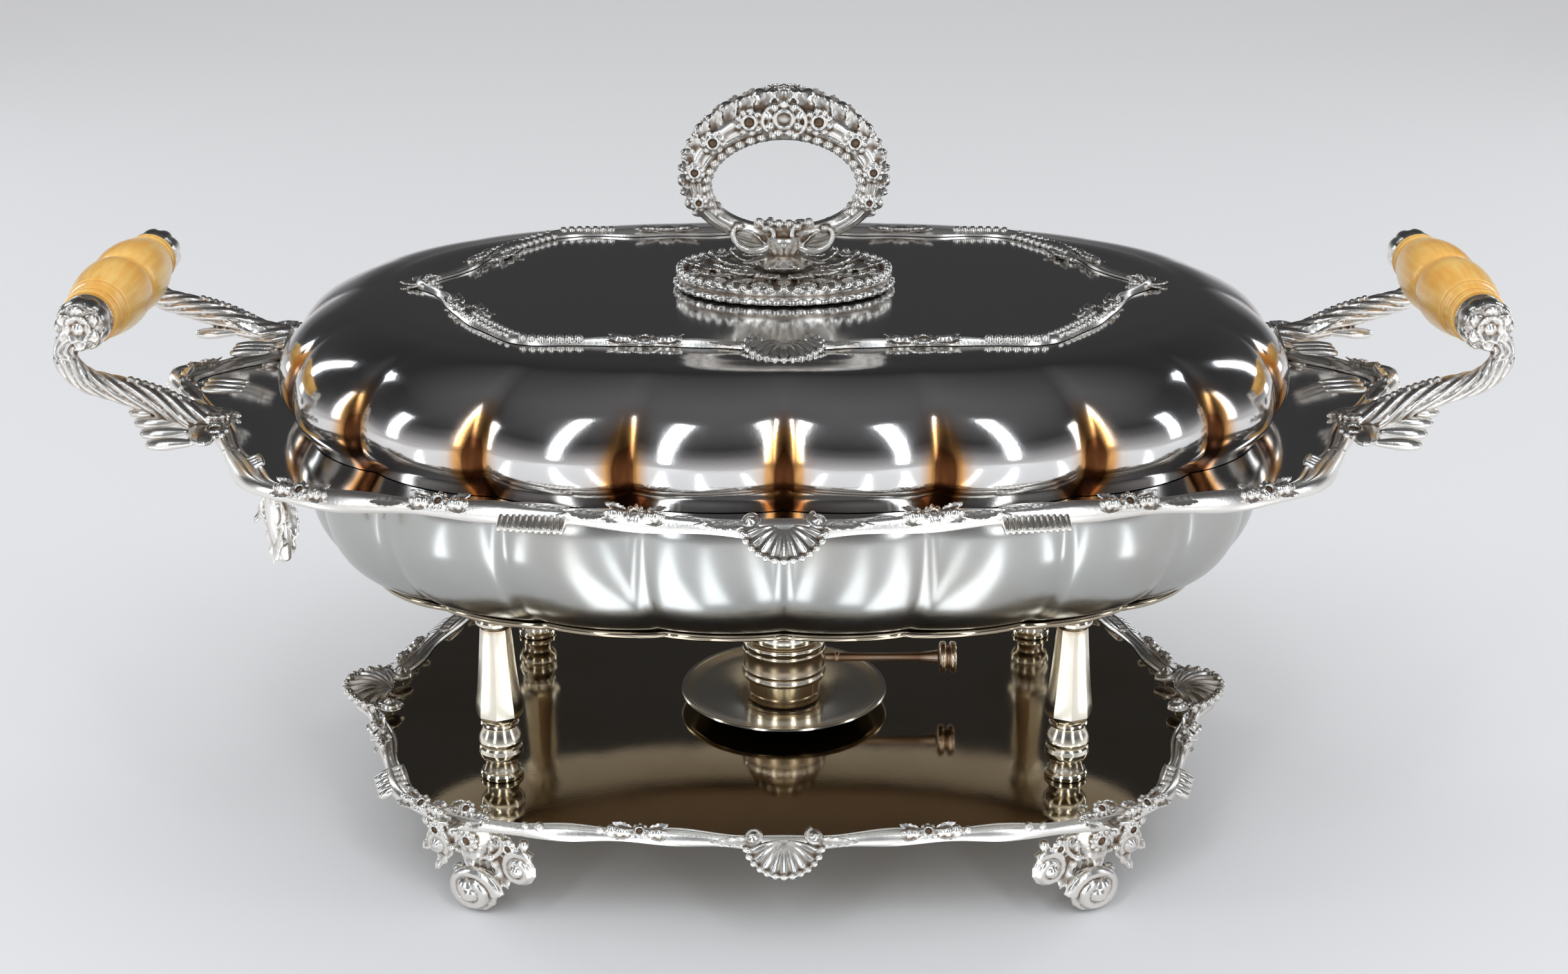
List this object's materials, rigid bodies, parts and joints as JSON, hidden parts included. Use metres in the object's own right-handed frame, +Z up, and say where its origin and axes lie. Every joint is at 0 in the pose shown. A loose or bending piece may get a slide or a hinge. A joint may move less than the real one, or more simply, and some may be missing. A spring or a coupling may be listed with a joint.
{
  "type": "chafing dish",
  "caption": "Lobed oval warming dish with a domed lid, raised over a spirit burner on columns that stand on a footed tray, with two upright side handles.",
  "frame": {"origin": "on the table, under the centre of the dish's overall box", "axes": "+X along the dish's length towards the right handle and the burner's lever, -Y towards the front, +Z up"},
  "size_m": [0.6264, 0.372, 0.3391],
  "materials": {
    "silver_polished": "mirror-polished silver plate",
    "silver_cast": "cast and plated, darkened in the hollows",
    "grip_bone": "turned, yellowed, half gloss",
    "brass_worn": "plate worn through to the brass",
    "wick_cotton": "loose cotton, charred at the edge"
  },
  "bodies": {
    "stand": {"tray_plate": "silver_polished", "tray_border": "silver_cast", "stand_frame": "silver_polished", "tray_foot_front_left": "silver_cast", "column_front_left": "silver_polished", "column_nut_front_left": "silver_cast", "tray_foot_front_right": "silver_cast", "column_front_right": "silver_polished", "column_nut_front_right": "silver_cast", "tray_foot_rear_left": "silver_cast", "column_rear_left": "silver_polished", "column_nut_rear_left": "silver_cast", "tray_foot_rear_right": "silver_cast", "column_rear_right": "silver_polished", "column_nut_rear_right": "silver_cast"},
    "burner": {"burner_saucer": "silver_polished", "burner_font": "silver_polished", "burner_wick": "wick_cotton"},
    "regulator": {"regulator_sleeve": "silver_polished", "regulator_lever": "brass_worn", "regulator_knob": "brass_worn"},
    "water_pan": {"water_pan": "silver_polished"},
    "food_dish": {"food_dish": "silver_polished", "dish_border": "silver_cast", "dish_foot_front_left": "silver_cast", "dish_foot_rear_left": "silver_cast", "dish_foot_rear_right": "silver_cast", "left_handle_arm_front": "silver_cast", "left_handle_arm_rear": "silver_cast", "left_grip": "grip_bone", "left_grip_rod": "silver_cast", "right_handle_arm_front": "silver_cast", "right_handle_arm_rear": "silver_cast", "right_grip": "grip_bone", "right_grip_rod": "silver_cast"},
    "lid": {"lid_shell": "silver_polished", "lid_border": "silver_cast", "finial_plate": "silver_cast", "finial_ring": "silver_cast", "finial_bolt": "silver_cast", "finial_nut": "silver_cast"}
  },
  "joints": [
    {"name": "burner_place", "type": "slide", "parent": "stand", "child": "burner", "axis": [0, 1, 0], "range_m": [-0.06, 0.06]},
    {"name": "regulator_turn", "type": "hinge", "parent": "burner", "child": "regulator", "pos_m": [0, 0, 0.066], "axis": [0, 0, 1], "range_deg": [-45, 45]},
    {"name": "water_pan_lift", "type": "slide", "parent": "stand", "child": "water_pan", "axis": [0, 0, 1], "range_m": [0, 0.08]},
    {"name": "food_dish_lift", "type": "slide", "parent": "water_pan", "child": "food_dish", "axis": [0, 0, 1], "range_m": [0, 0.1]},
    {"name": "lid_lift", "type": "slide", "parent": "food_dish", "child": "lid", "axis": [0, 0, 1], "range_m": [0, 0.15]}
  ]
}
